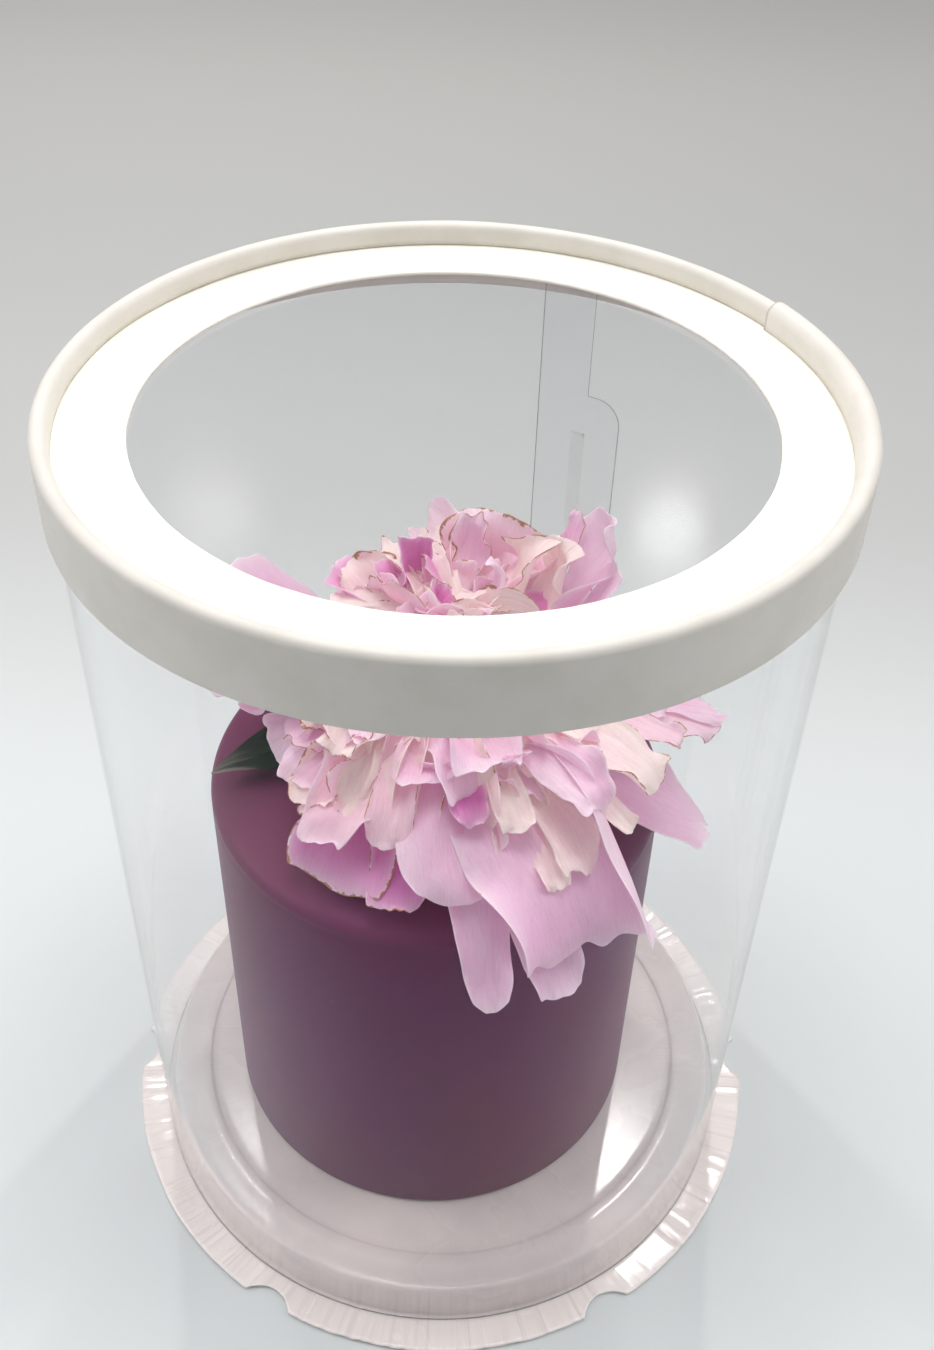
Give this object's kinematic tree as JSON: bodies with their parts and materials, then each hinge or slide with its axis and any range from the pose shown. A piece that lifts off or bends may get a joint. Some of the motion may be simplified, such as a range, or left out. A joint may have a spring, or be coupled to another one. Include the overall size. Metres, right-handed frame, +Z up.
{
  "type": "flower box",
  "caption": "Round clear display box for flowers: pressed tray, rolled clear tube that lifts off, lift-off card lid with a clear window, over a vase with a peony.",
  "frame": {"origin": "centre of the underside of the tray's flange, on the tube's axis", "axes": "+Z up along the tube's axis, -Y towards the front of the display, +X to the right seen from the front"},
  "size_m": [0.235, 0.2356, 0.3003],
  "materials": {
    "pearl_card": "pearly laminated card, semi-gloss, faintly pink",
    "clear_sheet": "thin clear plastic sheet, glossy",
    "clear_tape": "clear adhesive tape, slightly hazy",
    "white_card": "white coated card, satin",
    "plum_satin": "satin plum coating with fine dust specks",
    "petal_pink": "soft pink petal, paler at the rim, dried brown in places",
    "petal_cream": "cream-pink ragged inner petals",
    "stem_green": "green plant stem, slightly waxy",
    "leaf_green": "dark green veined leaf with a dried grey tip"
  },
  "bodies": {
    "base": {"base_tray": "pearl_card"},
    "tube": {"tube_sheet": "clear_sheet", "tube_seam_tape": "clear_tape"},
    "lid": {"lid_side_band": "white_card", "lid_top_ring": "white_card", "lid_window_film": "clear_sheet"},
    "vase": {"vase_body": "plum_satin"},
    "flower": {"flower_stem": "stem_green", "flower_calyx": "stem_green", "flower_core": "petal_cream", "guard_petal_left": "petal_pink", "guard_petal_front_left": "petal_pink", "guard_petal_front_left_low": "petal_pink", "guard_petal_front": "petal_pink", "guard_petal_tongue_left": "petal_pink", "guard_petal_tongue_right": "petal_pink", "guard_petal_broad": "petal_pink", "guard_petal_right": "petal_pink", "guard_petal_right_upper": "petal_pink", "guard_petal_back_right": "petal_pink", "guard_petal_back": "petal_pink", "guard_petal_back_left": "petal_pink", "leaf_left": "leaf_green"}
  },
  "joints": [
    {"name": "tube_lift", "type": "slide", "parent": "base", "child": "tube", "axis": [0, 0, 1], "range_m": [0, 0.245]},
    {"name": "lid_lift", "type": "slide", "parent": "tube", "child": "lid", "axis": [0, 0, 1], "range_m": [0, 0.06]},
    {"name": "vase_lift", "type": "slide", "parent": "base", "child": "vase", "axis": [0, 0, 1], "range_m": [0, 0.02]},
    {"name": "flower_lift", "type": "slide", "parent": "vase", "child": "flower", "axis": [0, 0, 1], "range_m": [0, 0.02]}
  ]
}
